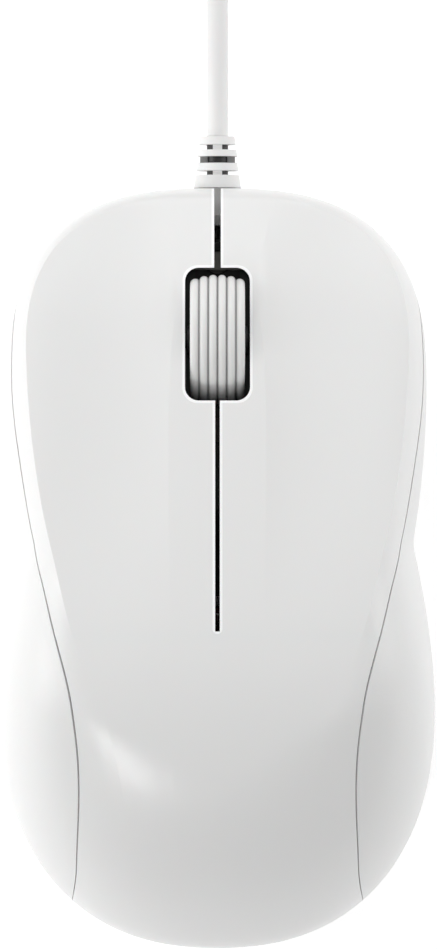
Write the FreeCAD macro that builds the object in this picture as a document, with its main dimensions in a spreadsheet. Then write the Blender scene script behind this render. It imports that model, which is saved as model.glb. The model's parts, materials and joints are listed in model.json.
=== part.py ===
import FreeCAD, Part
import math
import os
import re

# Wired three-button computer mouse.  X to the right, Y towards the nose, Z up, origin on the desk
# under the middle of the body.  The nose is at +body_length/2.

doc = FreeCAD.newDocument("computer_mouse")
dims = doc.addObject("Spreadsheet::Sheet", "Dims")

SIZES = [
    ("body_length", 106.0),      # nose to tail
    ("front_half", 29.2),        # half width across the keys
    ("rear_half", 30.3),         # half width across the grips
    ("deck_peak", 36.2),         # highest point of the palm above the desk
    ("shell_wall", 1.8),         # moulded wall of keys, cover and grips
    ("seam_gap", 0.28),          # shadow gap between palm cover and grips
    ("key_gap", 0.95),           # gap below the front end of a key, for its travel
    ("case_top", 6.0),           # upper edge of the bottom case
    ("floor_low", 0.7),          # underside of the bottom case
    ("floor_thick", 1.8),
    ("flex_line", 62.0),         # nose to the line where the keys bend
    ("slot_front", 0.92),        # slot between the keys, ahead of the wheel
    ("slot_rear", 0.64),         # slot between the keys, behind the wheel
    ("opening_width", 9.0),      # wheel opening
    ("opening_length", 18.5),
    ("opening_start", 11.3),     # nose to the front edge of the wheel opening
    ("wheel_diameter", 18.4),
    ("wheel_width", 7.6),
    ("wheel_from_nose", 21.45),
    ("wheel_height", 17.0),      # height of the wheel axis
    ("hub_diameter", 14.6),
    ("axle_diameter", 2.0),
    ("board_low", 4.4),          # underside of the circuit board
    ("board_thick", 1.5),
    ("switch_side", 14.0),       # click switches, centre line to switch centre
    ("switch_from_nose", 17.0),
    ("cord_diameter", 3.0),
    ("cord_height", 6.0),        # height of the cord where it leaves the nose
    ("foot_thick", 0.7),
]

ALIASES = []
for line, (alias, value) in enumerate(SIZES, start=1):
    dims.set("A%d" % line, alias)
    dims.set("B%d" % line, str(value))
    dims.setAlias("B%d" % line, alias)
    ALIASES.append(alias)
doc.recompute()


def size(alias):
    """The value of one driving dimension, for shapes that are worked out in code."""
    return float(getattr(dims, alias))


NOSE = size("body_length") / 2


# ---------------------------------------------------------------- outer form of the shells
def spread(first, last, count):
    return [first + (last - first) * i / (count - 1) for i in range(count)]


def smooth_step(value):
    value = min(1.0, max(0.0, value))
    return value * value * (3 - 2 * value)


def through(knots):
    """A smooth function of one number through a few (position, value) pairs: a natural cubic."""
    at = [k[0] for k in knots]
    value = [k[1] for k in knots]
    last = len(knots) - 1
    step = [b - a for a, b in zip(at, at[1:])]
    bend, carry = [0.0] * (last + 1), [0.0] * (last + 1)
    for i in range(1, last):
        change = 6 * ((value[i + 1] - value[i]) / step[i] - (value[i] - value[i - 1]) / step[i - 1])
        pivot = 2 * (step[i] + step[i - 1]) - step[i - 1] * carry[i - 1]
        carry[i] = step[i] / pivot
        bend[i] = (change - step[i - 1] * bend[i - 1]) / pivot
    for i in range(last - 1, 0, -1):
        bend[i] -= carry[i] * bend[i + 1]

    def curve(place):
        place = min(at[-1], max(at[0], place))
        i = 0
        while i < last - 1 and place > at[i + 1]:
            i += 1
        a = (at[i + 1] - place) / step[i]
        b = 1 - a
        return (a * value[i] + b * value[i + 1]
                + ((a ** 3 - a) * bend[i] + (b ** 3 - b) * bend[i + 1]) * step[i] ** 2 / 6)
    return curve


WIDE_FRONT = 28.0      # nose to the widest place of the front curve
WIDE_REAR = 72.2       # nose to the widest place of the grips
SPINE_HEIGHT = 3.0     # the shells are measured outwards from a line this high
SPINE_FRONT = NOSE - WIDE_FRONT
SPINE_REAR = NOSE - WIDE_REAR


def half_width(y):
    """Half width of the plan outline at y: two bulging curves that meet in a waist."""
    d = NOSE - y
    if d <= 0 or d >= 2 * NOSE:
        return 0.0
    if d < WIDE_FRONT:
        return size("front_half") * (1 - (1 - d / WIDE_FRONT) ** 2.7) ** (1 / 2.7)
    if d > WIDE_REAR:
        tail = (d - WIDE_REAR) / (2 * NOSE - WIDE_REAR)
        return size("rear_half") * (1 - tail ** 2.3) ** (1 / 2.3)
    front = size("front_half") - 0.0041 * (d - WIDE_FRONT) ** 2
    rear = size("rear_half") - 0.01305 * (WIDE_REAR - d) ** 1.75
    apart = front - rear
    return (front + rear + math.sqrt(apart * apart + 0.04)) / 2


deck_height = through([(0, 12.4), (10, 17.8), (22, 23.4), (38, 29.4), (54, 34.2), (68, 36.4),
                       (80, 35.2), (93, 30.5), (106, 23.0)])
crown_drop = through([(0, 0.8), (30, 1.2), (55, 1.8), (80, 2.2), (106, 1.6)])
dish_depth = through([(1, 0.3), (10, 1.0), (25, 1.2), (42, 0.9), (54, 0.3), (62, 0.0), (80, 0.0)])
crease_half = through([(28, 26.25), (35, 25.6), (41, 24.75), (47, 23.6), (52, 22.4), (58, 21.0),
                       (64, 19.2), (72.2, 15.4)])
end_roll = through([(-1, 1.9), (-0.7, 1.5), (-0.45, 1.5), (-0.26, 2.1), (0, 2.95), (0.3, 3.6),
                    (0.8, 10.5), (1, 14.9), (1.2, 19.5), (1.6, 24.0), (2, 24.0)])
roll_bulge = through([(-1, 1.0), (-0.75, 1.0), (-0.5, 0.95), (-0.3, 0.7), (-0.1, 0.6), (0.15, 0.58),
                      (0.4, 0.62), (0.62, 0.8), (0.85, 1.0), (1.2, 1.0), (2, 1.0)])
BAND_HALF = 6.6        # flat band along the middle of the keys
DISH_EDGE = 24.0


def roll_width(place):
    """Width of the strip along the outline in which the surface falls away to the sides."""
    if not 0 < place < 1:
        return end_roll(place)
    d = WIDE_FRONT + place * (WIDE_REAR - WIDE_FRONT)
    return half_width(NOSE - d) - crease_half(d)


def waist_height(y):
    """Height of the widest line above the desk."""
    return 9.0 + 3.0 * smooth_step((NOSE - y - 40) / 40)


def around(x, y):
    """Place on the outline's round trip (-1 nose, 0 and 1 spine ends, 2 tail) and the distance
    from the outline, measured straight out from the spine."""
    x = abs(x)
    if SPINE_REAR <= y <= SPINE_FRONT:
        return (SPINE_FRONT - y) / (SPINE_FRONT - SPINE_REAR), half_width(y) - x
    end = SPINE_FRONT if y > SPINE_FRONT else SPINE_REAR
    reach = math.hypot(x, y - end)
    turn = math.atan2(abs(y - end), x)
    edge = outline_reach(turn, y > SPINE_FRONT)
    place = -turn / (math.pi / 2)
    return (place if y > SPINE_FRONT else 1 - place), edge - reach


REACH = {}


def outline_reach(turn, front):
    """Distance from a spine end to the outline, at an angle from the X axis (kept in a table)."""
    steps = 240
    if front not in REACH:
        table = []
        for i in range(steps + 1):
            a = i / steps * math.pi / 2
            lo, hi = 0.0, 60.0
            for _ in range(34):
                mid = (lo + hi) / 2
                y = mid * math.sin(a)
                y = SPINE_FRONT + y if front else SPINE_REAR - y
                if mid * math.cos(a) < half_width(y):
                    lo = mid
                else:
                    hi = mid
            table.append(lo)
        REACH[front] = table
    place = turn / (math.pi / 2) * steps
    i = min(steps - 1, int(place))
    f = place - i
    near = [REACH[front][min(steps, abs(i + k))] for k in (-1, 0, 1, 2)]
    low, high = (near[2] - near[0]) / 2, (near[3] - near[1]) / 2
    return (near[1] * (1 + 2 * f) * (1 - f) ** 2 + near[2] * f * f * (3 - 2 * f)
            + low * f * (1 - f) ** 2 - high * f * f * (1 - f))


def top_height(x, y):
    """Height of the outer surface over a point inside the outline."""
    d = NOSE - y
    place, inset = around(x, y)
    if inset <= 0:
        return 0.0
    wide = size("front_half")
    deck = deck_height(d) * size("deck_peak") / 36.4 - crown_drop(d) * (x / wide) ** 2
    across = (abs(x) - BAND_HALF) / (DISH_EDGE - BAND_HALF)
    if 0 < across < 1:
        deck -= dish_depth(d) * 4 * across * (1 - across) ** 1.4
    low = waist_height(y)
    part = inset / roll_width(place)
    if part < 1:
        bulge = roll_bulge(place)
        part = part + 2 * bulge * (math.sqrt(part) - part)
        return low + (deck - low) * part
    return deck


def inside(x, y, z):
    low = waist_height(y)
    if z >= low:
        return abs(x) < half_width(y) and z < top_height(x, y)
    tuck = 3.0 * ((low - z) / low) ** 2
    return abs(x) * (1 + tuck / 30) < half_width(y * (1 + tuck / 53))


def spine_ray(place, lean):
    """Start and direction of a ray: place runs from nose to tail, lean is the angle from up."""
    y = SPINE_FRONT - min(1.0, max(0.0, place)) * (SPINE_FRONT - SPINE_REAR)
    turn = 0.0
    if place < 0:
        turn = -place * math.pi / 2
    if place > 1:
        turn = -(place - 1) * math.pi / 2
    lean = math.radians(lean)
    return (FreeCAD.Vector(0, y, SPINE_HEIGHT),
            FreeCAD.Vector(math.sin(lean) * math.cos(turn), math.sin(turn),
                           math.cos(lean) * math.cos(turn)))


def skin_reach(place, lean):
    """Length of the ray up to the outer surface."""
    start, way = spine_ray(place, lean)
    lo, hi = 2.0, 75.0
    for _ in range(26):
        mid = (lo + hi) / 2
        if inside(start.x + way.x * mid, start.y + way.y * mid, start.z + way.z * mid):
            lo = mid
        else:
            hi = mid
    return lo


def skin_point(place, lean, depth=0.0):
    start, way = spine_ray(place, lean)
    return start + way * (skin_reach(place, lean) - depth)


# Angles from up, by place along the body, of the lines that divide the shells.
PARTING = through([(-1, 118), (-0.6, 104), (-0.4, 87), (-0.2, 70), (0, 64.5), (0.2, 57.0), (0.4, 50.5),
                   (0.5, 46.7), (0.6, 41.6), (0.7, 38.0), (0.8, 35.3), (1, 32.2), (1.15, 33.3),
                   (1.3, 37.6), (1.4, 42.7), (1.5, 51.8), (1.56, 64), (1.64, 92), (1.8, 115), (2, 120)])


def roll_start(place):
    """Angle from up at which the side of the keys begins to fall away."""
    lo, hi = 15.0, 88.0
    for _ in range(22):
        mid = (lo + hi) / 2
        point = skin_point(place, mid)
        there, inset = around(point.x, point.y)
        if inset > roll_width(there):
            lo = mid
        else:
            hi = mid
    return lo


CREASE = through([(-1, 97), (-0.85, 74), (-0.75, 58.5), (-0.68, 50.8)]
                 + [(place, roll_start(place)) for place in spread(-0.6, 0.7, 27)]
                 + [(0.85, 29.9), (1, 25.8), (1.3, 24), (1.5, 28), (1.7, 40), (2, 60)])
BAND = through([(-1, 72), (-0.85, 55), (-0.7, 35.6), (-0.5, 20.5), (-0.25, 17.5), (0, 16.3),
                (0.5, 12.4), (1, 11), (1.5, 12), (2, 20)])
FLEX_PLACE = (size("flex_line") - WIDE_FRONT) / (WIDE_REAR - WIDE_FRONT)


def middle(place):
    return 0.0


def panel_foot(place):
    return 104.0


def key_edge(place):
    """Lower edge of a key: the gap to the grip grows from the flex line to the nose."""
    gap = size("seam_gap") / 2 + (size("key_gap") - size("seam_gap")) * smooth_step(
        (FLEX_PLACE - place) / 1.2)
    return PARTING(place) - math.degrees(gap / skin_reach(place, PARTING(place)))


def cover_edge(place):
    gap = size("seam_gap") / 2
    return PARTING(place) - math.degrees(gap / skin_reach(place, PARTING(place)))


def grip_edge(place):
    gap = size("seam_gap") / 2
    return PARTING(place) + math.degrees(gap / skin_reach(place, PARTING(place)))


def opposite(edge):
    return lambda place: -edge(place)


def fitted(points, along):
    curve = Part.BSplineCurve()
    curve.interpolate(Points=points, Parameters=along)
    return curve


def fitted_surface(grid, cols_at):
    """A smooth surface through a grid of points; equal border points give equal border curves."""
    rows_at = spread(0, 1, len(grid[0]))
    rows = [fitted(row, rows_at) for row in grid]
    poles = [fitted([row.getPole(i + 1) for row in rows], cols_at)
             for i in range(rows[0].NbPoles)]
    across, down = rows[0], poles[0]
    net = [[column.getPole(k + 1) for column in poles] for k in range(down.NbPoles)]
    surface = Part.BSplineSurface()
    surface.buildFromPolesMultsKnots(net, down.getMultiplicities(), across.getMultiplicities(),
                                     down.getKnots(), across.getKnots(), False, False, 3, 3)
    return surface


def shell_piece(first, last, lines, rows, top, wall):
    """A curved slab as a solid, from depth top to depth wall below the outer form.  The lines
    divide it into strips, so that creases are true edges."""
    places = [first]
    while places[-1] < last:
        from_nose_roll = abs(places[-1] + 0.67)
        places.append(places[-1] + 0.013 + 0.023 * smooth_step((from_nose_roll - 0.12) / 0.15))
    at = [(p - first) / (places[-1] - first) for p in places]
    places = [first + (last - first) * a for a in at]
    faces = []
    for side, (lo, hi) in enumerate(zip(lines, lines[1:])):
        leans = [spread(lo(p), hi(p), rows[side]) for p in places]
        outer = fitted_surface([[skin_point(p, a, top) for a in row]
                                for p, row in zip(places, leans)], at)
        inner = fitted_surface([[skin_point(p, a, wall) for a in row]
                                for p, row in zip(places, leans)], at)
        faces += [outer.toShape(), inner.toShape()]
        for skin_end in (0, 1):
            faces.append(Part.makeRuledSurface(outer.uIso(skin_end).toShape(),
                                               inner.uIso(skin_end).toShape()))
        if side == 0:
            faces.append(Part.makeRuledSurface(outer.vIso(0).toShape(), inner.vIso(0).toShape()))
        if side == len(lines) - 2:
            faces.append(Part.makeRuledSurface(outer.vIso(1).toShape(), inner.vIso(1).toShape()))
    sewn = Part.Compound(faces)
    sewn.sewShape(0.001)
    solid = Part.Solid(sewn.Shells[0])
    if solid.Volume < 0:
        solid.reverse()
    return solid


# ---------------------------------------------------------------- small building blocks
def bind(obj, prop, value):
    """Set a number, or bind the property to a formula in the names of driving dimensions."""
    if isinstance(value, str):
        obj.setExpression(prop, re.sub(r"[a-z]+(?:_[a-z]+)+", r"Dims.\g<0>", value))
    elif prop.startswith("Placement.Base."):
        base = obj.Placement.Base
        setattr(base, prop[-1], value)
        obj.Placement = FreeCAD.Placement(base, obj.Placement.Rotation)
    else:
        setattr(obj, prop, value)


def make(kind, name, at, turn=None, **sizes):
    obj = doc.addObject(kind, name)
    if turn:
        obj.Placement = FreeCAD.Placement(FreeCAD.Vector(), FreeCAD.Rotation(*turn))
    for prop, value in sizes.items():
        bind(obj, prop, value)
    for axis, value in zip("xyz", at):
        bind(obj, "Placement.Base." + axis, value)
    return obj


def less_half(place, width):
    """The low end of something centred on a place."""
    if isinstance(place, str) or isinstance(width, str):
        return "(%s) - (%s) / 2" % (place, width)
    return place - width / 2


def block(name, x, y, low, wide, deep, tall, rounding=0.0):
    """A box centred on x and y, standing on a height, with optional rounded upright edges."""
    obj = make("Part::Box", name, (less_half(x, wide), less_half(y, deep), low),
               Length=wide, Width=deep, Height=tall)
    return rounded(name + "_rounded", obj, rounding, "upright") if rounding else obj


def rod(name, at, radius, length, along="z"):
    turn = {"z": None, "x": (FreeCAD.Vector(0, 1, 0), 90), "y": (FreeCAD.Vector(1, 0, 0), -90)}
    return make("Part::Cylinder", name, at, turn[along], Radius=radius, Height=length)


def rounded(name, base, radius, which):
    """Fillet the upright, top or all edges of a simple solid."""
    doc.recompute()
    picked = []
    top = base.Shape.BoundBox.ZMax
    for number, edge in enumerate(base.Shape.Edges, start=1):
        ends = edge.BoundBox
        upright = ends.ZLength > 0.9 * base.Shape.BoundBox.ZLength
        upper = ends.ZMin > top - 1e-3
        if which == "all" or (which == "upright" and upright) or (which == "top" and upper):
            picked.append((number, radius, radius))
    obj = doc.addObject("Part::Fillet", name)
    obj.Base = base
    obj.Edges = picked
    return obj


def joined(name, *pieces):
    obj = doc.addObject("Part::MultiFuse", name)
    obj.Shapes = list(pieces)
    return obj


def cut(name, base, tool):
    obj = doc.addObject("Part::Cut", name)
    obj.Base = base
    obj.Tool = tool
    return obj


def shared(name, base, tool):
    obj = doc.addObject("Part::Common", name)
    obj.Base = base
    obj.Tool = tool
    return obj


def group(name, shapes):
    """Separate equal solids that make up one node."""
    obj = doc.addObject("Part::Compound", name)
    obj.Links = list(shapes)
    return obj


def mirrored(name, source):
    obj = doc.addObject("Part::Mirroring", name)
    obj.Source = source
    obj.Normal = FreeCAD.Vector(1, 0, 0)
    return obj


def free_shape(name, shape):
    obj = doc.addObject("Part::Feature", name)
    obj.Shape = shape
    return obj


def plane_sketch(body, name, role):
    sketch = body.newObject("Sketcher::SketchObject", name)
    plane = [f for f in body.Origin.OriginFeatures if f.Role == role][0]
    sketch.AttachmentSupport = [(plane, "")]
    sketch.MapMode = "FlatFace"
    return sketch


def closed_lines(sketch, corners):
    points = [FreeCAD.Vector(x, y, 0) for x, y in corners]
    for a, b in zip(points, points[1:] + points[:1]):
        sketch.addGeometry(Part.LineSegment(a, b), False)


def turned_body(name, corners, place, turn):
    """A PartDesign revolution about the sketch's upright axis; corners are (radius, along)."""
    body = doc.addObject("PartDesign::Body", name)
    sketch = plane_sketch(body, name + "_profile", "XZ_Plane")
    closed_lines(sketch, corners)
    spin = body.newObject("PartDesign::Revolution", name + "_turned")
    spin.Profile = sketch
    spin.ReferenceAxis = (sketch, ["V_Axis"])
    spin.Angle = 360
    body.Tip = spin
    if turn:
        body.Placement = FreeCAD.Placement(FreeCAD.Vector(), FreeCAD.Rotation(*turn))
    for axis, value in zip("xyz", place):
        bind(body, "Placement.Base." + axis, value)
    doc.recompute()
    return body


PARTS = {}


def finish(name, obj):
    obj.Label = name
    PARTS[name] = obj
    return obj


NOSE_Y = "body_length / 2"
WHEEL_Y = "body_length / 2 - wheel_from_nose"
BOARD_TOP = "board_low + board_thick"


# ---------------------------------------------------------------- shells
def outline_wire(height, inset):
    """Closed plan outline of the body at a height, moved in by a distance."""
    points = []
    for place in spread(-1, 2, 91):
        start, way = spine_ray(place, 90)
        lo, hi = 1.0, 70.0
        for _ in range(30):
            mid = (lo + hi) / 2
            if inside(start.x + way.x * mid, start.y + way.y * mid, height):
                lo = mid
            else:
                hi = mid
        points.append(FreeCAD.Vector(start.x + way.x * (lo - inset),
                                     start.y + way.y * (lo - inset), height))
    points += [FreeCAD.Vector(-p.x, p.y, p.z) for p in reversed(points[1:-1])]
    curve = Part.BSplineCurve()
    curve.interpolate(Points=points, PeriodicFlag=True)
    return Part.Wire([curve.toShape()])


def outline_solid(heights, inset):
    return Part.makeLoft([outline_wire(z, inset) for z in heights], True, False)


def below(name, height):
    """Everything below a height, to trim the lower edges of the shells."""
    return make("Part::Box", name, (-50, -80, "(%s) - 60" % height), Length=100, Width=160,
                Height=60)


def bottom_case():
    low, top = size("floor_low"), size("case_top")
    floor = low + size("floor_thick")
    tub = free_shape("case_outer", outline_solid([low, 2.0, 3.6, top], 0.0))
    lip = free_shape("case_lip", outline_solid([floor, top + 2.4], 2.2))
    hollow = free_shape("case_hollow", outline_solid([floor, top + 3.0], 3.2))
    posts = []
    for side in (-1, 1):
        posts.append(rod("board_post_rear", (side * 15.0, -12.0, 2.0), 2.4, "board_low - 2"))
        posts.append(rod("board_post_front", (side * 15.0, 25.5, 2.0), 2.4, "board_low - 2"))
        posts.append(rod("cover_post", (side * 11.0, -37.0, 2.0), 3.4, 16.0))
        posts.append(block("cradle_stand", side * 8.1, 19.5, 2.0, 2.0, 5.0, 13.6))
    solid = joined("case_with_posts", cut("case_tray", joined("case_blank", tub, lip), hollow), *posts)
    holes = [
        rod("relief_neck", (0, 46, "cord_height"), 2.7, 12.0, "y"),
        rod("relief_seat", (0, 46, "cord_height"), 3.7, 3.5, "y"),
        block("relief_way", 0, 52, "cord_height", 5.4, 12.0, 8.0),
        block("sensor_window", 0, 2.0, 0, 9.0, 7.0, 5.0, 2.0),
        block("label_recess", 0, -22.0, -0.1, 26.0, 14.0, 1.0, 1.5),
    ]
    for side in (-1, 1):
        holes.append(rod("cover_screw_way", (side * 11.0, -37.0, 0), 1.35, 30.0))
        holes.append(rod("cover_screw_seat", (side * 11.0, -37.0, 0), 3.0, 2.6))
        holes.append(rod("board_screw_way", (side * 15.0, -12.0, 2.8), 0.75, 6.0))
        holes.append(rod("cradle_pivot_way", (side * 8.1 - 2, 19.5, 13.2), 1.04, 4.0, "x"))
    finish("bottom_case", cut("bottom_case", solid, joined("case_holes", *holes)))


def centre_cut():
    """The slot between the keys, the wheel opening and the way for the strain relief."""
    mouth_y = "body_length / 2 - opening_start - opening_length / 2"
    mouth = block("wheel_mouth", 0, mouth_y, 12.0, "opening_width", "opening_length", 30.0, 1.9)
    ahead = block("slot_ahead", 0, 46.0, 4.0, "slot_front", 20.0, 40.0)
    behind = block("slot_behind", 0, 8.0, 14.0, "slot_rear", 33.0, 40.0)
    relief = rod("relief_gap", (0, 44, "cord_height"), 4.1, 16.0, "y")
    return joined("centre_cut", mouth, ahead, behind, relief)


def keys():
    wall = size("shell_wall")
    lines = [middle, BAND, CREASE, key_edge]
    rows = [5, 12, 8]
    skin = free_shape("key_skin", shell_piece(-0.965, FLEX_PLACE, lines, rows, 0.0, wall))
    under = free_shape("key_under", shell_piece(-0.5, 0.4, [lambda p: 6.0, lambda p: 48.0],
                                                [9], 0.9, 14.0))
    switch_y = "body_length / 2 - switch_from_nose"
    post = block("key_post", "switch_side", switch_y, "board_low + board_thick + 7.35", 2.4, 3.0, 20.0)
    rib = block("key_rib", "switch_side", 22.0, 20.0, 1.2, 24.0, 20.0)
    inner = shared("key_post_trim", joined("key_posts", post, rib), under)
    full = joined("key_full", skin, inner)
    trimmed = cut("key_trimmed", full, below("key_foot", "case_top + 1.2"))
    right = finish("right_key", cut("right_key", trimmed, centre_cut()))
    finish("left_key", mirrored("left_key", right))


def palm_cover():
    wall = size("shell_wall")
    lines = [opposite(cover_edge), opposite(CREASE), opposite(BAND), BAND, CREASE, cover_edge]
    start = FLEX_PLACE + 0.0034
    skin = free_shape("palm_skin", shell_piece(start, 1.965, lines, [8, 12, 8, 12, 8], 0.0, wall))
    under = free_shape("palm_under", shell_piece(0.95, 1.9, [lambda p: -32.0, lambda p: 32.0],
                                                 [14], 0.9, 16.0))
    bosses = [rod("cover_boss", (side * 11.0, -37.0, 18.0), 3.2, 20.0) for side in (-1, 1)]
    inner = shared("cover_boss_trim", joined("cover_bosses", *bosses), under)
    solid = cut("palm_trimmed", joined("palm_full", skin, inner), below("palm_foot", "case_top"))
    ways = [rod("boss_way", (side * 11.0, -37.0, 17.0), 1.0, 7.0) for side in (-1, 1)]
    finish("palm_cover", cut("palm_cover", solid, joined("boss_ways", *ways)))


def side_panels():
    skin = free_shape("grip_skin", shell_piece(-0.42, 1.63, [grip_edge, panel_foot], [18], 0.0,
                                               size("shell_wall")))
    right = finish("right_side_panel", cut("right_side_panel", skin, below("grip_foot", "case_top")))
    finish("left_side_panel", mirrored("left_side_panel", right))


# ---------------------------------------------------------------- scroll wheel
def scroll_tyre():
    """Six rounded ribs round the wheel, five grooves between them; the tread is crowned."""
    def crown(x):
        return 0.055 * x * x

    ribs, depth = 6, 0.45
    radius, wide, bore = size("wheel_diameter") / 2, size("wheel_width"), size("hub_diameter") / 2
    body = doc.addObject("PartDesign::Body", "scroll_wheel_tyre")
    sketch = plane_sketch(body, "tyre_profile", "XZ_Plane")
    pitch = wide / ribs
    across = [-wide / 2 + pitch * i for i in range(ribs + 1)]
    low = [FreeCAD.Vector(radius - depth - crown(x), x, 0) for x in across]
    for a, b in zip(low, low[1:]):
        crest = FreeCAD.Vector(radius - crown((a.y + b.y) / 2), (a.y + b.y) / 2, 0)
        sketch.addGeometry(Part.Arc(a, crest, b), False)
    foot = [FreeCAD.Vector(bore, -wide / 2, 0), FreeCAD.Vector(bore, wide / 2, 0)]
    for a, b in ((low[-1], foot[1]), (foot[1], foot[0]), (foot[0], low[0])):
        sketch.addGeometry(Part.LineSegment(a, b), False)
    spin = body.newObject("PartDesign::Revolution", "tyre_turned")
    spin.Profile = sketch
    spin.ReferenceAxis = (sketch, ["V_Axis"])
    spin.Angle = 360
    body.Tip = spin
    body.Placement = FreeCAD.Placement(FreeCAD.Vector(), FreeCAD.Rotation(FreeCAD.Vector(0, 1, 0), 90))
    for axis, value in zip("xyz", (0, WHEEL_Y, "wheel_height")):
        bind(body, "Placement.Base." + axis, value)
    finish("scroll_wheel_tyre", body)


def wheel_hub():
    """Rim, thin web with encoder slots, and a boss on the axle."""
    rim, inner = size("hub_diameter") / 2, size("hub_diameter") / 2 - 1.1
    bore = size("axle_diameter") / 2 + 0.02
    half = [(bore, 4.2), (2.1, 4.2), (2.1, 0.5), (inner, 0.5), (inner, 3.4), (rim, 3.4)]
    corners = half + [(r, -a) for r, a in reversed(half)]
    body = turned_body("scroll_wheel_hub", corners, (0, WHEEL_Y, "wheel_height"),
                       (FreeCAD.Vector(0, 1, 0), 90))
    sketch = plane_sketch(body, "encoder_slots", "XY_Plane")
    slots, near, far = 18, 3.5, 5.5
    for i in range(slots):
        turn = 2 * math.pi * i / slots
        wide = math.pi / slots / 2
        closed_lines(sketch, [(r * math.cos(turn + a), r * math.sin(turn + a)) for r, a in
                              ((near, -wide), (far, -wide), (far, wide), (near, wide))])
    pocket = body.newObject("PartDesign::Pocket", "encoder_pocket")
    pocket.Profile = sketch
    pocket.Type = "Length"
    pocket.Length = 4
    pocket.Midplane = True
    body.Tip = pocket
    finish("scroll_wheel_hub", body)


def wheel_axle():
    finish("wheel_axle", rod("wheel_axle", (-6.6, WHEEL_Y, "wheel_height"), "axle_diameter / 2", 13.2,
                             "x"))


def wheel_cradle():
    """A frame round the wheel: it rocks on two rear pins and its front foot works the switch."""
    pieces = [block("cradle_rear_bar", 0, 19.2, 12.0, 10.0, 3.4, 2.4),
              block("cradle_front_bar", 0, 42.7, 12.0, 10.0, 2.4, 1.9),
              rod("cradle_foot", (0, 42.6, 10.8), 1.3, 1.6)]
    for side in (-1, 1):
        pieces.append(block("cradle_arm", side * 5.45, 30.7, 12.0, 1.5, 26.4, 1.9))
        pieces.append(block("cradle_cheek", side * 5.45, WHEEL_Y, 12.0, 1.5, 5.2, 6.3))
        pieces.append(rod("cradle_pin", (5.0 if side > 0 else -8.9, 19.5, 13.2), 1.0, 3.9, "x"))
    ways = [rod("axle_way", (-8, WHEEL_Y, "wheel_height"), "axle_diameter / 2 + 0.05", 16.0, "x"),
            rod("light_way", (-8, WHEEL_Y, "wheel_height - 4.2"), 0.7, 16.0, "x")]
    finish("wheel_cradle", cut("wheel_cradle", joined("cradle_frame", *pieces),
                               joined("cradle_ways", *ways)))


def detent_spring():
    """Thin leaf on the left arm that clicks over the boss of the wheel."""
    leaf = block("detent_leaf", -4.55, 25.9, 12.4, 0.3, 10.0, 1.2)
    finish("detent_spring", leaf)


# ---------------------------------------------------------------- circuit board
def circuit_board():
    body = doc.addObject("PartDesign::Body", "circuit_board")
    sketch = plane_sketch(body, "board_outline", "XY_Plane")
    closed_lines(sketch, [(-19, -17), (19, -17), (19, 36), (12, 45.6), (-12, 45.6), (-19, 36)])
    for side in (-1, 1):
        closed_lines(sketch, [(side * x, y) for x, y in ((6.8, 16.7), (9.4, 16.7), (9.4, 22.3),
                                                         (6.8, 22.3))])
        sketch.addGeometry(Part.Circle(FreeCAD.Vector(side * 15.0, -12.0, 0),
                                       FreeCAD.Vector(0, 0, 1), 0.95), False)
    sketch.addGeometry(Part.Circle(FreeCAD.Vector(0, 2, 0), FreeCAD.Vector(0, 0, 1), 3.4), False)
    closed_lines(sketch, [(-2.8, -7.9), (2.8, -7.9), (2.8, -3.4), (-2.8, -3.4)])
    pad = body.newObject("PartDesign::Pad", "board_sheet")
    pad.Profile = sketch
    bind(pad, "Length", "board_thick")
    body.Tip = pad
    bind(body, "Placement.Base.z", "board_low")
    finish("circuit_board", body)


def click_switch(name, side):
    """Micro switch: a case with a well for its plunger, and the plunger."""
    x = "%d * switch_side" % side
    y = "body_length / 2 - switch_from_nose"
    case = block(name + "_body", x, y, BOARD_TOP, 5.8, 12.8, 6.5)
    well = block(name + "_well", x, y, "board_low + board_thick + 4.9", 1.5, 3.3, 4.0)
    finish(name + "_case", cut(name + "_case", case, well))
    finish(name + "_plunger", block(name + "_plunger", x, y, "board_low + board_thick + 5.7",
                                    1.2, 3.0, 1.6))


def middle_switch():
    case = block("middle_switch_body", 0, 42.6, BOARD_TOP, 6.2, 5.4, 3.9)
    well = rod("middle_switch_well", (0, 42.6, "board_low + board_thick + 2.9"), 1.7, 4.0)
    finish("middle_switch_case", cut("middle_switch_case", case, well))
    finish("middle_switch_plunger", rod("middle_switch_plunger",
                                        (0, 42.6, "board_low + board_thick + 3.6"), 1.55, 1.25))


def switch_pins():
    pins = []
    for side in (-1, 1):
        for step in (-5, 0, 5):
            pins.append(block("switch_pin", side * 14.0, 36.0 + step, "board_low - 1.2", 0.6, 0.9, 1.2))
    finish("switch_pins", group("switch_pins", pins))


def encoder():
    for name, side in (("encoder_emitter", 1), ("encoder_receiver", -1)):
        case = block(name + "_body", side * 8.3, WHEEL_Y, "wheel_height - 7.2", 1.6, 4.4, 5.4)
        eye = make("Part::Sphere", name + "_eye", (side * 7.6, WHEEL_Y, "wheel_height - 4.2"),
                   Radius=0.8)
        finish(name, joined(name, case, eye))
    legs = []
    for side in (-1, 1):
        for step in (-1.27, 1.27):
            legs.append(block("encoder_leg", side * 8.3, "%s + %s" % (WHEEL_Y, step), BOARD_TOP, 0.5,
                              0.5, "wheel_height - 7.2 - board_low - board_thick"))
    finish("encoder_legs", group("encoder_legs", legs))


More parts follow.
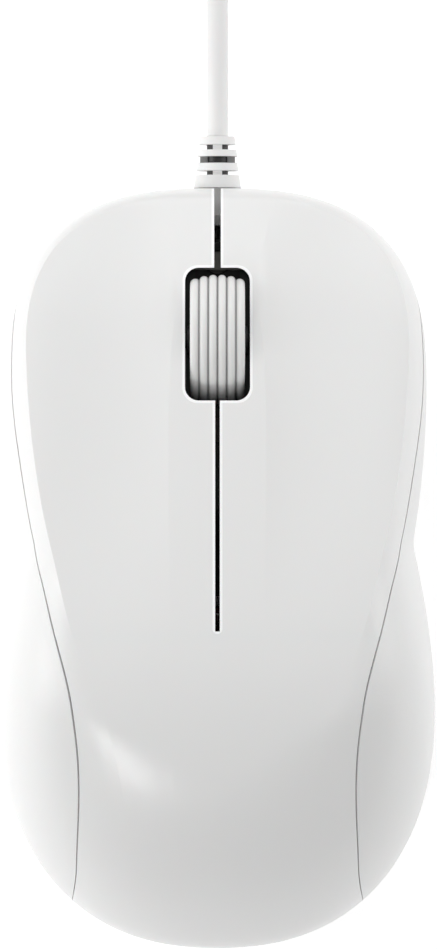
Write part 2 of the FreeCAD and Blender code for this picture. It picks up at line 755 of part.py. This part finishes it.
def optics():
    chip = block("optical_sensor", 0, 2.0, BOARD_TOP, 9.0, 12.0, 2.6)
    finish("optical_sensor", chip)
    legs = [block("sensor_leg", side * 5.2, 2.0 + step, BOARD_TOP, 1.4, 0.6, 0.5)
            for side in (-1, 1) for step in (-4.5, -1.5, 1.5, 4.5)]
    finish("sensor_legs", group("sensor_legs", legs))
    base = block("lens_base", 0, 0.0, 2.5, 12.0, 18.0, 1.2, 1.5)
    dome = rod("lens_barrel", (0, 2.0, 1.5), 2.2, 2.9)
    prism = block("lens_prism", 0, -5.6, 2.5, 5.0, 4.0, 1.9)
    finish("sensor_lens", joined("sensor_lens", base, dome, prism))
    lamp = joined("lamp_whole", rod("lamp_barrel", (0, -12.4, 8.4), 2.4, 4.6, "y"),
                  make("Part::Sphere", "lamp_tip", (0, -7.8, 8.4), Radius=2.4),
                  rod("lamp_flange", (0, -13.2, 8.4), 2.45, 0.8, "y"))
    finish("sensor_led", lamp)
    hood = block("clip_hood", 0, -10.2, BOARD_TOP, 7.4, 5.6, 6.6, 0.6)
    tunnel = joined("clip_tunnel", rod("clip_bore", (0, -16, 8.4), 2.5, 14.0, "y"),
                    block("clip_gap", 0, -10.0, 4.0, 4.6, 12.0, 4.4))
    finish("led_clip", cut("led_clip", hood, tunnel))


def small_components():
    can = rod("capacitor_can", (-13.5, 12.0, BOARD_TOP), 2.5, 8.0)
    finish("filter_capacitor", rounded("filter_capacitor", can, 0.35, "top"))
    finish("controller_chip", block("controller_chip", 12.6, 9.0, BOARD_TOP, 6.0, 10.2, 1.9))
    legs = [block("chip_leg", 12.6 + side * 3.6, 9.0 + step * 1.27, BOARD_TOP, 1.2, 0.45, 0.4)
            for side in (-1, 1) for step in range(-3, 4)]
    finish("chip_legs", group("chip_legs", legs))
    spots = [(6.6, 13.0), (-8.0, 6.0), (-8.0, 3.4), (8.0, -3.0), (8.0, -6.0), (-7.6, 12.6)]
    chips = [block("chip_resistor", x, y, BOARD_TOP, 1.6, 0.9, 0.55) for x, y in spots]
    finish("chip_resistors", group("chip_resistors", chips))
    header = block("header_block", -14.2, 19.6, BOARD_TOP, 9.0, 3.6, 3.0)
    finish("cord_header", header)
    finish("cord_plug", block("cord_plug", -14.2, 19.6, "board_low + board_thick + 3.0", 8.2, 3.4, 4.2))


def screws():
    for name, x, y, low, head, shank, long in (("cover_screws", 11.0, -37.0, 1.1, 2.6, 1.1, 18.0),
                                               ("board_screws", 15.0, -12.0, 0.0, 1.7, 0.7, 0.0)):
        made = []
        for side in (-1, 1):
            if name == "cover_screws":
                top = rod("cover_screw_head", (side * x, y, low), head, 1.4)
                bar = rod("cover_screw_shank", (side * x, y, low + 1.4), shank - 0.12, long)
                slot = joined("cover_cross", block("cover_cross_a", side * x, y, low - 1, 3.0, 0.7, 1.7),
                              block("cover_cross_b", side * x, y, low - 1, 0.7, 3.0, 1.7))
            else:
                top = rod("board_screw_head", (side * x, y, BOARD_TOP), head, 1.1)
                bar = rod("board_screw_shank", (side * x, y, 3.0), shank, 3.2)
                slot = joined("board_cross", block("board_cross_a", side * x, y, 6.6, 2.0, 0.5, 1.0),
                              block("board_cross_b", side * x, y, 6.6, 0.5, 2.0, 1.0))
            made.append(cut(name + "_one", joined(name + "_blank", top, bar), slot))
        finish(name, group(name, made))


def underside():
    finish("front_glide", block("front_glide", 0, 41.0, 0, 24.0, 6.0, "foot_thick", 2.9))
    finish("rear_glide", block("rear_glide", 0, -45.0, 0, 24.0, 5.0, "foot_thick", 2.4))
    finish("label_plate", block("label_plate", 0, -22.0, 0.72, 25.4, 13.4, 0.18, 1.3))


# ---------------------------------------------------------------- cord and plug
def tube(route, radius, label):
    """A round tube along straight runs joined by the largest tangent arcs; prints its radii."""
    points = [FreeCAD.Vector(*p) for p in route]
    edges, at, radii = [], points[0], []
    for before, corner, after in zip(points, points[1:], points[2:]):
        back, on = (before - corner), (after - corner)
        run = min(back.Length, on.Length)
        half_turn = (math.pi - back.getAngle(on)) / 2
        radii.append(0.45 * run / math.tan(half_turn))
        start = corner + back.normalize() * (0.45 * run)
        end = corner + on.normalize() * (0.45 * run)
        bow = radii[-1] / math.cos(half_turn) - radii[-1]
        middle_point = corner + (back + on).normalize() * bow
        edges.append(Part.makeLine(at, start))
        edges.append(Part.Arc(start, middle_point, end).toShape())
        at = end
    edges.append(Part.makeLine(at, points[-1]))
    path = Part.Wire(edges)
    ring = Part.Wire([Part.makeCircle(radius, points[0], points[1] - points[0])])
    solid = path.makePipeShell([ring], True, False)
    expected = math.pi * radius ** 2 * path.Length
    print(label, "length %.1f" % path.Length, "radii", ["%.1f" % r for r in radii],
          "volume %.1f of %.1f" % (solid.Volume, expected))
    return solid


def strain_relief():
    """Moulded sleeve: inner flange and neck, a base at the nose and three rings on thin webs."""
    def ring(name, start, length, radius):
        return rod(name, (0, start, "cord_height"), radius, length, "y")

    def tapered(name, start, length, wide, narrow):
        return make("Part::Cone", name, (0, start, "cord_height"), (FreeCAD.Vector(1, 0, 0), -90),
                    Radius1=wide, Radius2=narrow, Height=length)
    pieces = [ring("relief_flange", 47.8, 1.5, 3.5), ring("relief_neck", 49.3, 3.9, 2.6),
              tapered("relief_base", 53.1, 1.8, 3.3, 3.05),
              tapered("relief_ring_a", 55.5, 1.1, 2.95, 2.8),
              tapered("relief_ring_b", 57.5, 0.95, 2.8, 2.65),
              tapered("relief_ring_c", 59.15, 1.15, 2.6, 2.4)]
    for name, y, wide, tall in (("web_a", 55.2, 1.3, 5.2), ("web_b", 57.05, 4.9, 1.3),
                                ("web_c", 58.8, 1.3, 4.5)):
        pieces.append(block("relief_" + name, 0, y, less_half("cord_height", tall), wide, 1.3, tall))
    bore = ring("relief_bore", 47.0, 14.0, size("cord_diameter") / 2)
    finish("strain_relief", cut("strain_relief", joined("relief_whole", *pieces), bore))


def cord():
    radius = size("cord_diameter") / 2
    out = tube([(0, 47.9, 6.0), (0, 67, 6.0), (0, 88.5, 1.85), (0, 104, 1.86)], radius, "cord_lead")
    finish("cord_lead", free_shape("cord_lead", out))
    ring = cut("coil_ring", rod("coil_outer", (-21, 110.5, 0.35), 22.6, 11.0),
               rod("coil_inner", (-21, 110.5, 0), 10.4, 20.0))
    finish("cord_coil", rounded("cord_coil", ring, 1.4, "all"))
    end = tube([(-9.3, 98.8, 10.5), (1.5, 109.2, 10.4), (11.0, 122, 5.0), (11.8, 136, 4.0)], radius,
               "plug_lead")
    finish("plug_lead", free_shape("plug_lead", end))
    band = block("tie_outer", -37.5, 110.5, 0, 13.4, 4.0, 12.9)
    space = block("tie_inner", -37.5, 110.5, 0.35, 12.3, 6.0, 12.0)
    finish("coil_tie", cut("coil_tie", band, space))


def plug():
    x, y = 11.8, 139.0
    grip = block("grip_block", x, y + 12.0, 0.0, 15.6, 24.0, 8.0, 2.6)
    nose = make("Part::Cone", "grip_relief", (x, y - 8.0, 4.0), (FreeCAD.Vector(1, 0, 0), -90),
                Radius1=2.3, Radius2=3.2, Height=8.5)
    way = joined("grip_ways", rod("grip_cord_way", (x, y - 9.0, 4.0), "cord_diameter / 2", 8.0, "y"),
                 block("grip_shell_way", x, y + 22.0, 1.75, 12.0, 8.0, 4.5))
    finish("usb_grip", cut("usb_grip", joined("grip_whole", grip, nose), way))
    outer = block("usb_shell_outer", x, y + 27.0, 1.75, 12.0, 18.0, 4.5)
    hollow = block("usb_shell_hollow", x, y + 28.0, 2.1, 11.3, 18.0, 3.8)
    holes = [block("usb_shell_hole", x + side * 2.6, y + 30.6, 5.5, 2.0, 2.2, 2.0) for side in (-1, 1)]
    finish("usb_shell", cut("usb_shell", outer, joined("usb_shell_ways", hollow, *holes)))
    finish("usb_tongue", block("usb_tongue", x, y + 27.0, 2.1, 11.2, 15.8, 1.8))
    strips = [block("usb_contact", x + place, y + 31.0, 3.9, 1.1, 7.0, 0.15)
              for place in (-3.5, -1.1, 1.1, 3.5)]
    finish("usb_contacts", group("usb_contacts", strips))


def lead_wires():
    """Four insulated wires from the end of the cord to the plug on the board."""
    wires = []
    for level in range(4):
        up = 0.62 * level
        route = [(0, 47.6, 6.2 + up), (-7.4, 45.2, 6.9 + up), (-10.1, 39.5, 7.4 + up),
                 (-10.1, 27.5, 9.0 + up), (-12.3, 21.3, 9.9 + up)]
        wires.append(free_shape("lead_wire", tube(route, 0.27, "lead_wire")))
    finish("lead_wires", group("lead_wires", wires))


# ---------------------------------------------------------------- build, check, write
bottom_case()
keys()
palm_cover()
side_panels()
scroll_tyre()
wheel_hub()
wheel_axle()
wheel_cradle()
detent_spring()
circuit_board()
click_switch("left_switch", -1)
click_switch("right_switch", 1)
middle_switch()
switch_pins()
encoder()
optics()
small_components()
screws()
underside()
strain_relief()
cord()
plug()
lead_wires()
doc.recompute()

for obj in doc.Objects:
    if "Invalid" in obj.State or "Error" in obj.State:
        raise RuntimeError("broken feature: %s %s" % (obj.Name, obj.State))
os.makedirs("parts", exist_ok=True)
for name, obj in PARTS.items():
    shape = obj.Shape
    if shape.isNull() or not shape.isValid() or not shape.Solids:
        raise RuntimeError("bad shape: " + name)
    shape.exportStep("parts/%s.step" % name)
print(len(PARTS), "parts written")
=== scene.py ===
import json
import math
import bpy
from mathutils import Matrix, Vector


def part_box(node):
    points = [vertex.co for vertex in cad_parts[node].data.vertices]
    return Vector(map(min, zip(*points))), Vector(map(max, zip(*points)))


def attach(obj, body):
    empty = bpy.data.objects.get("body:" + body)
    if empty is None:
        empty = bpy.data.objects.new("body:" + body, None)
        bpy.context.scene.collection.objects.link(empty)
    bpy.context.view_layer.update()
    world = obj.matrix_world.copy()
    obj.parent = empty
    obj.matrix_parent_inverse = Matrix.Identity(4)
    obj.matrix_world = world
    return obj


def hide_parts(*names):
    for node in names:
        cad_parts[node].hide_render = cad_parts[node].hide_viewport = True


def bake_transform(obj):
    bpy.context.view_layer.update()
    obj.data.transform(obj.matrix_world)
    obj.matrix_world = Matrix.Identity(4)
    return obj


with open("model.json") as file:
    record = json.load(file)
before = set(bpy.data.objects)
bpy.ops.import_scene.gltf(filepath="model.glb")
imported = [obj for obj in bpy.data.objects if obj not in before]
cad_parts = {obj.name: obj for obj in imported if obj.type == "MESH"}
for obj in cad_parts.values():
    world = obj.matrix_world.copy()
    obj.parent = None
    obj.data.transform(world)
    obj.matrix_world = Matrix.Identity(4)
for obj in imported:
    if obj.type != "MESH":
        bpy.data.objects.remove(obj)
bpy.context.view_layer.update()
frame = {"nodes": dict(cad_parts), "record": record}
nodes = frame["nodes"]


# ---------------------------------------------------------------- camera
def add_camera():
    """Straight down on the mouse, nose up, from far enough away for a long lens."""
    distance = 1.30
    seen_height = 0.1325
    seen_level = 0.010
    data = bpy.data.cameras.new("camera")
    data.sensor_fit = "AUTO"
    data.sensor_width = 24.0
    data.lens = data.sensor_width * (distance - seen_level) / seen_height
    data.clip_start = 0.05
    data.clip_end = 20.0
    camera = bpy.data.objects.new("camera", data)
    bpy.context.collection.objects.link(camera)
    camera.location = (0.00014, 0.0130, distance)
    camera.rotation_euler = (0.0, 0.0, 0.0)
    bpy.context.scene.camera = camera


# ---------------------------------------------------------------- cord
CORD_DIAMETER = 0.003
POINT_RADIUS = 0.001                     # scale of the tube at a point; the tube's size divides by it
COIL_CENTRE = (-0.021, 0.1105)
COIL_OUTER = 0.021                       # radius of the middle of the outermost turn
COIL_INNER = 0.012
TOP_INNER = 0.0135                       # the two turns on top
FIRST_LEVEL = 0.00185
LAYER_STEP = 0.0029
LEAD = [(0, 0.0479, 0.006), (0, 0.067, 0.006), (0, 0.0885, 0.00185), (0, 0.104, 0.00186)]
PLUG_END = [(0.0015, 0.1092, 0.0104), (0.011, 0.122, 0.005), (0.0118, 0.136, 0.004)]


def ease(value):
    """0 to 1 with a smooth start and end."""
    value = min(1.0, max(0.0, value))
    return value * value * (3 - 2 * value)


def coil_points(turns=14, per_turn=16, short=2):
    """Neat coil: four columns wide, three layers and two turns on top, each a diameter apart."""
    radii = []
    levels = []
    for turn in range(turns + 1):
        layer, column = divmod(turn, 4)
        if layer == 3:
            radii.append(TOP_INNER + CORD_DIAMETER * min(column, 1))
        elif layer % 2 == 0:
            radii.append(COIL_OUTER - CORD_DIAMETER * column)
        else:
            radii.append(COIL_INNER + CORD_DIAMETER * column)
        levels.append(FIRST_LEVEL + LAYER_STEP * layer)
    points = []
    for i in range(turns * per_turn + 1 - short):
        turn, part = divmod(i, per_turn)
        step = ease((part / per_turn - 0.62) / 0.38)      # it moves on in the last part of a turn
        after = min(turns, turn + 1)
        radius = radii[turn] * (1 - step) + radii[after] * step
        radius *= 1.012 + 0.006 * math.sin(1.7 * i) * math.sin(0.31 * i)
        level = levels[turn] * (1 - step) + levels[after] * step
        angle = 2 * math.pi * i / per_turn
        points.append((COIL_CENTRE[0] + radius * math.cos(angle),
                       COIL_CENTRE[1] + radius * math.sin(angle), level))
    return points


def add_cord():
    """One curve from inside the strain relief through the coil to the plug."""
    curve = bpy.data.curves.new("cord", "CURVE")
    curve.dimensions = "3D"
    route = LEAD + coil_points() + PLUG_END
    spline = curve.splines.new("NURBS")
    spline.points.add(len(route) - 1)
    for point, place in zip(spline.points, route):
        point.co = (*place, 1.0)
        point.radius = POINT_RADIUS
    spline.order_u = 3
    spline.use_endpoint_u = True
    spline.resolution_u = 6
    curve.bevel_depth = CORD_DIAMETER / 2 / POINT_RADIUS
    curve.bevel_resolution = 5
    curve.use_fill_caps = True
    cord = bpy.data.objects.new("cord", curve)
    bpy.context.collection.objects.link(cord)
    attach(cord, "case")
    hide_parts("cord_lead", "cord_coil", "plug_lead")
    return cord


add_camera()
cord = add_cord()


# ---------------------------------------------------------------- materials
def material(name, colour, roughness=0.5, metallic=0.0, coat=0.0, coat_roughness=0.1, grain=0.0,
             grain_size=0.0006, mottle=0.03, mottle_size=0.02, clear=0.0, ior=1.5,
             rough_change=0.05, soft=0.0, rim=0.0, specular=0.5):
    """Moulded or metal finish: colour and gloss that vary a little, a fine surface grain and, with
    a rim, a small rounding along the edges."""
    made = bpy.data.materials.new(name)
    made.use_nodes = True
    tree = made.node_tree
    tree.nodes.clear()
    out = tree.nodes.new("ShaderNodeOutputMaterial")
    shader = tree.nodes.new("ShaderNodeBsdfPrincipled")
    tree.links.new(shader.outputs["BSDF"], out.inputs["Surface"])
    shader.inputs["Metallic"].default_value = metallic
    shader.inputs["IOR"].default_value = ior
    shader.inputs["Specular IOR Level"].default_value = specular
    shader.inputs["Coat Weight"].default_value = coat
    shader.inputs["Coat Roughness"].default_value = coat_roughness
    shader.inputs["Transmission Weight"].default_value = clear
    shader.inputs["Subsurface Weight"].default_value = soft
    shader.inputs["Subsurface Scale"].default_value = 0.002
    place = tree.nodes.new("ShaderNodeTexCoord")
    cloud = tree.nodes.new("ShaderNodeTexNoise")
    cloud.inputs["Scale"].default_value = 1 / mottle_size
    cloud.inputs["Detail"].default_value = 4.0
    tree.links.new(place.outputs["Object"], cloud.inputs["Vector"])
    shade = tree.nodes.new("ShaderNodeMix")
    shade.data_type = "RGBA"
    shade.inputs["A"].default_value = (*[c * (1 - mottle) for c in colour], 1.0)
    shade.inputs["B"].default_value = (*[min(1.0, c * (1 + mottle)) for c in colour], 1.0)
    tree.links.new(cloud.outputs["Fac"], shade.inputs["Factor"])
    tree.links.new(shade.outputs["Result"], shader.inputs["Base Color"])
    fine = tree.nodes.new("ShaderNodeTexNoise")
    fine.inputs["Scale"].default_value = 1 / grain_size
    fine.inputs["Detail"].default_value = 3.0
    tree.links.new(place.outputs["Object"], fine.inputs["Vector"])
    gloss = tree.nodes.new("ShaderNodeMapRange")
    gloss.inputs["To Min"].default_value = max(0.02, roughness - rough_change)
    gloss.inputs["To Max"].default_value = roughness + rough_change
    tree.links.new(fine.outputs["Fac"], gloss.inputs["Value"])
    tree.links.new(gloss.outputs["Result"], shader.inputs["Roughness"])
    if rim:
        edge = tree.nodes.new("ShaderNodeBevel")
        edge.samples = 6
        edge.inputs["Radius"].default_value = rim
        tree.links.new(edge.outputs["Normal"], shader.inputs["Normal"])
    if grain:
        bump = tree.nodes.new("ShaderNodeBump")
        bump.inputs["Strength"].default_value = grain
        bump.inputs["Distance"].default_value = 0.00008
        tree.links.new(fine.outputs["Fac"], bump.inputs["Height"])
        if rim:
            tree.links.new(edge.outputs["Normal"], bump.inputs["Normal"])
        tree.links.new(bump.outputs["Normal"], shader.inputs["Normal"])
    return made


FINISHES = {
    "white_shell": dict(colour=(0.80, 0.80, 0.795), roughness=0.33, coat=0.15, coat_roughness=0.2,
                        grain=0.05, mottle=0.008, soft=0.05),
    "grip_shell": dict(colour=(0.79, 0.79, 0.785), roughness=0.36, coat=0.1, coat_roughness=0.24,
                       grain=0.06, mottle=0.008, soft=0.05),
    "base_shell": dict(colour=(0.74, 0.74, 0.735), roughness=0.5, grain=0.35, mottle=0.015,
                       rim=0.0003),
    "wheel_rubber": dict(colour=(0.80, 0.80, 0.79), roughness=0.42, grain=0.15, mottle=0.03,
                         mottle_size=0.004, soft=0.05),
    "grey_plastic": dict(colour=(0.10, 0.10, 0.105), roughness=0.45, grain=0.2, rim=0.0001),
    "black_plastic": dict(colour=(0.018, 0.018, 0.02), roughness=0.4, grain=0.3, mottle=0.1),
    "cream_plastic": dict(colour=(0.16, 0.155, 0.14), roughness=0.45, grain=0.1, mottle=0.03),
    "steel": dict(colour=(0.42, 0.42, 0.43), roughness=0.3, metallic=1.0, grain=0.1),
    "nickel": dict(colour=(0.68, 0.67, 0.65), roughness=0.18, metallic=1.0, grain=0.05),
    "gold": dict(colour=(0.80, 0.58, 0.25), roughness=0.22, metallic=1.0),
    "board_green": dict(colour=(0.008, 0.05, 0.025), roughness=0.35, coat=0.3, grain=0.15,
                        mottle=0.12, mottle_size=0.003),
    "clear_plastic": dict(colour=(0.92, 0.94, 0.95), roughness=0.08, clear=0.9, ior=1.49),
    "red_lens": dict(colour=(0.10, 0.008, 0.008), roughness=0.12, clear=0.3, ior=1.49),
    "glide": dict(colour=(0.05, 0.05, 0.055), roughness=0.32, grain=0.15, mottle=0.08,
                  rim=0.0002),
    "label": dict(colour=(0.62, 0.63, 0.64), roughness=0.45, mottle=0.02),
    "cord_jacket": dict(colour=(0.84, 0.84, 0.835), roughness=0.42, grain=0.15, mottle=0.02,
                        mottle_size=0.01, soft=0.05, rim=0.00015),
    "can": dict(colour=(0.03, 0.05, 0.14), roughness=0.3, coat=0.3),
}
made = {name: material(name, **finish) for name, finish in FINISHES.items()}
for part in frame["record"]["subparts"]:
    node = nodes[part["node"]]
    node.data.materials.clear()
    node.data.materials.append(made[part["material_slot"]])


def parts_of(finish):
    """The shader, the socket with its colour, and the three object coordinates of a material."""
    tree = finish.node_tree
    shader = next(n for n in tree.nodes if n.type == "BSDF_PRINCIPLED")
    place = next(n for n in tree.nodes if n.type == "TEX_COORD")
    split = tree.nodes.new("ShaderNodeSeparateXYZ")
    tree.links.new(place.outputs["Object"], split.inputs["Vector"])
    return tree, shader, shader.inputs["Base Color"].links[0].from_socket, split.outputs


def reckon(tree, kind, first, second=0.0):
    """One step of arithmetic between sockets or numbers."""
    step = tree.nodes.new("ShaderNodeMath")
    step.operation = kind
    for slot, value in zip(step.inputs, (first, second)):
        if isinstance(value, (int, float)):
            slot.default_value = value
        else:
            tree.links.new(value, slot)
    return step.outputs[0]


def recoloured(name, source, mask_of, colour):
    """A copy of a finish that turns to another colour where the mask is 1."""
    finish = source.copy()
    finish.name = name
    tree, shader, plain, axes = parts_of(finish)
    mask = mask_of(tree, axes)
    shade = tree.nodes.new("ShaderNodeMix")
    shade.data_type = "RGBA"
    tree.links.new(mask, shade.inputs["Factor"])
    tree.links.new(plain, shade.inputs["A"])
    shade.inputs["B"].default_value = (*colour, 1.0)
    tree.links.new(shade.outputs["Result"], shader.inputs["Base Color"])
    return finish


def ramp(tree, value, low, high):
    """0 below low, 1 above high, smooth between."""
    step = tree.nodes.new("ShaderNodeMapRange")
    step.interpolation_type = "SMOOTHSTEP"
    step.inputs["From Min"].default_value = low
    step.inputs["From Max"].default_value = high
    tree.links.new(value, step.inputs["Value"])
    return step.outputs["Result"]


def inverse(tree, value):
    return reckon(tree, "SUBTRACT", 1.0, value)


def between(tree, value, low, high, soft):
    """1 from low to high, with soft ends."""
    rise = ramp(tree, value, low - soft, low + soft)
    fall = inverse(tree, ramp(tree, value, high - soft, high + soft))
    return reckon(tree, "MULTIPLY", rise, fall)


def relief_shade(tree, axes):
    """The cord between the rings of the strain relief lies in their shade."""
    last_ring = 0.0601
    return inverse(tree, ramp(tree, axes["Y"], last_ring - 0.0003, last_ring + 0.0003))


def slot_shade(tree, axes):
    """Painted shade on the narrow neck between the first and second rings of the strain relief."""
    return between(tree, axes["Y"], 0.0566, 0.0575, 0.0001)


def groove_shade(tree, axes):
    """Painted shade in the five grooves round the tyre, one between each two of its six ribs; the
    ribs themselves are in the mesh.
    """
    rib_width = 0.0076 / 6
    across = reckon(tree, "ABSOLUTE", axes["X"])
    turn = reckon(tree, "PINGPONG", across, rib_width / 2)
    near = inverse(tree, ramp(tree, turn, 0.00006, 0.00026))
    inner = reckon(tree, "LESS_THAN", across, 0.0031)
    return reckon(tree, "MULTIPLY", near, inner)


OPENING_HALF_WIDTH = 0.0045
OPENING_HALF_LENGTH = 0.00925
OPENING_CORNER = 0.0018
OPENING_Y = 0.03245
SLOT_HALF_AHEAD = 0.00046                # half width of the slot between the keys
SLOT_HALF_BEHIND = 0.00032
SLOT_END = -0.0406                       # centre of its round rear end, from the opening
# width of the band of painted highlight round the opening and the slots
RIM_WIDTH = 0.00035


def length_of(tree, first, second):
    """Length of a line with these two sides."""
    squares = [reckon(tree, "MULTIPLY", side, side) for side in (first, second)]
    return reckon(tree, "SQRT", reckon(tree, "ADD", *squares))


def past(tree, value, limit):
    """How far a value is past its limit, or 0."""
    return reckon(tree, "MAXIMUM", reckon(tree, "SUBTRACT", value, limit), 0.0)


def painted_rim_highlight(tree, axes):
    """Painted highlight: a near-white band round the wheel opening and the slots, standing in for
    light caught by rounded edges.
    """
    x = reckon(tree, "ABSOLUTE", axes["X"])
    y = reckon(tree, "SUBTRACT", axes["Y"], OPENING_Y)
    away = reckon(tree, "ABSOLUTE", y)
    side = past(tree, x, OPENING_HALF_WIDTH - OPENING_CORNER)
    end = past(tree, away, OPENING_HALF_LENGTH - OPENING_CORNER)
    opening = reckon(tree, "SUBTRACT", length_of(tree, side, end), OPENING_CORNER)
    ahead = reckon(tree, "SUBTRACT", x, SLOT_HALF_AHEAD)
    ahead = reckon(tree, "ADD", ahead, reckon(tree, "LESS_THAN", y, OPENING_HALF_LENGTH))
    beyond = reckon(tree, "MAXIMUM", reckon(tree, "SUBTRACT", SLOT_END, y), 0.0)
    behind = reckon(tree, "SUBTRACT", length_of(tree, x, beyond), SLOT_HALF_BEHIND)
    behind = reckon(tree, "ADD", behind, reckon(tree, "GREATER_THAN", y, -OPENING_HALF_LENGTH))
    nearest = reckon(tree, "MINIMUM", reckon(tree, "MINIMUM", opening, ahead), behind)
    return inverse(tree, ramp(tree, nearest, 0.8 * RIM_WIDTH, 1.2 * RIM_WIDTH))


def grey(level):
    return (level, level, level)


cord.data.materials.append(recoloured("cord_jacket_shaded", made["cord_jacket"], relief_shade,
                                      grey(0.035)))
# painted shade on the neck between the relief's first two rings
nodes["strain_relief"].data.materials[0] = recoloured("relief_jacket_painted_shade", made["cord_jacket"],
                                                      slot_shade, grey(0.35))
# painted shade darkens the tyre's grooves
nodes["scroll_wheel_tyre"].data.materials[0] = recoloured("tyre_groove_painted_shade", made["wheel_rubber"],
                                                          groove_shade, grey(0.42))
# the wheel axle is painted near black to stand in for the shade in the gaps beside the wheel
nodes["wheel_axle"].data.materials[0] = material("axle_painted_shade", grey(0.02), grain=0.1)
# the keys' white shell with a painted highlight round the wheel opening and the slots
key_finish_painted_rim = recoloured("key_shell_painted_rim", made["white_shell"], painted_rim_highlight, grey(0.99))


# ---------------------------------------------------------------- key skins
EDGE_REACH = 0.00004                     # points this near the rear edge belong to it


def key_skin(side):
    """The key's skin: a copy of the key that takes its place, with its rear edge moved to meet the
    front edge of the palm cover.
    """
    source = nodes[side + "_key"]
    mesh = source.data.copy()
    skin = bpy.data.objects.new(side + "_key_skin", mesh)
    bpy.context.collection.objects.link(skin)
    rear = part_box(side + "_key")[0][1]
    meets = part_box("palm_cover")[1][1]
    for vertex in mesh.vertices:
        if vertex.co.y < rear + EDGE_REACH:
            vertex.co.y += meets - rear
    mesh.materials.clear()
    mesh.materials.append(key_finish_painted_rim)
    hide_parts(side + "_key")
    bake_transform(skin)


for side in ("left", "right"):
    key_skin(side)


# ---------------------------------------------------------------- floor and light
def add_floor():
    """A white sheet that glows a little, like paper lit from behind."""
    mesh = bpy.data.meshes.new("floor")
    reach = 3
    corners = [(-reach, -reach, 0), (reach, -reach, 0), (reach, reach, 0), (-reach, reach, 0)]
    mesh.from_pydata(corners, [], [(0, 1, 2, 3)])
    floor = bpy.data.objects.new("floor", mesh)
    bpy.context.collection.objects.link(floor)
    paper = material("floor_paper", grey(0.93), roughness=0.9, mottle=0.0, rough_change=0.02)
    glow = next(n for n in paper.node_tree.nodes if n.type == "BSDF_PRINCIPLED")
    glow.inputs["Emission Color"].default_value = (1, 1, 1, 1)
    glow.inputs["Emission Strength"].default_value = 0.36
    mesh.materials.append(paper)


def add_panel(name, place, aim, size, power):
    """A soft rectangular lamp; size in metres, power in watts."""
    data = bpy.data.lights.new(name, "AREA")
    data.shape = "RECTANGLE"
    data.size, data.size_y = size
    data.energy = power
    lamp = bpy.data.objects.new(name, data)
    bpy.context.collection.objects.link(lamp)
    lamp.location = place
    lamp.rotation_euler = (Vector(aim) - Vector(place)).to_track_quat("-Z", "Y").to_euler()


def add_sky(rear, front):
    """White all round, weaker behind the tail than ahead of the nose."""
    world = bpy.data.worlds.new("studio")
    world.use_nodes = True
    sky = world.node_tree
    place = sky.nodes.new("ShaderNodeTexCoord")
    split = sky.nodes.new("ShaderNodeSeparateXYZ")
    sky.links.new(place.outputs["Generated"], split.inputs["Vector"])
    fade = sky.nodes.new("ShaderNodeMapRange")
    fade.interpolation_type = "SMOOTHSTEP"
    fade.inputs["From Min"].default_value = -0.9
    fade.inputs["From Max"].default_value = 0.9
    fade.inputs["To Min"].default_value = rear
    fade.inputs["To Max"].default_value = front
    sky.links.new(split.outputs["Y"], fade.inputs["Value"])
    background = sky.nodes["Background"]
    sky.links.new(fade.outputs["Result"], background.inputs["Strength"])
    background.inputs["Color"].default_value = (1, 1, 1, 1)
    bpy.context.scene.world = world


add_floor()
add_panel("left_box", (-0.85, -0.02, 0.32), (0, 0, 0.01), (0.35, 0.8), 2.95)
add_panel("front_box", (0.0, 0.95, 0.45), (0, 0.0, 0.01), (0.8, 0.4), 2.5)
add_panel("right_box", (0.85, 0.10, 0.32), (0, 0, 0.01), (0.35, 0.6), 1.25)
add_panel("palm_light", (-0.39, -0.73, 0.93), (0, -0.027, 0.03), (0.24, 0.24), 2.5)
add_sky(rear=0.31, front=0.72)
bpy.context.scene.view_settings.view_transform = "Standard"
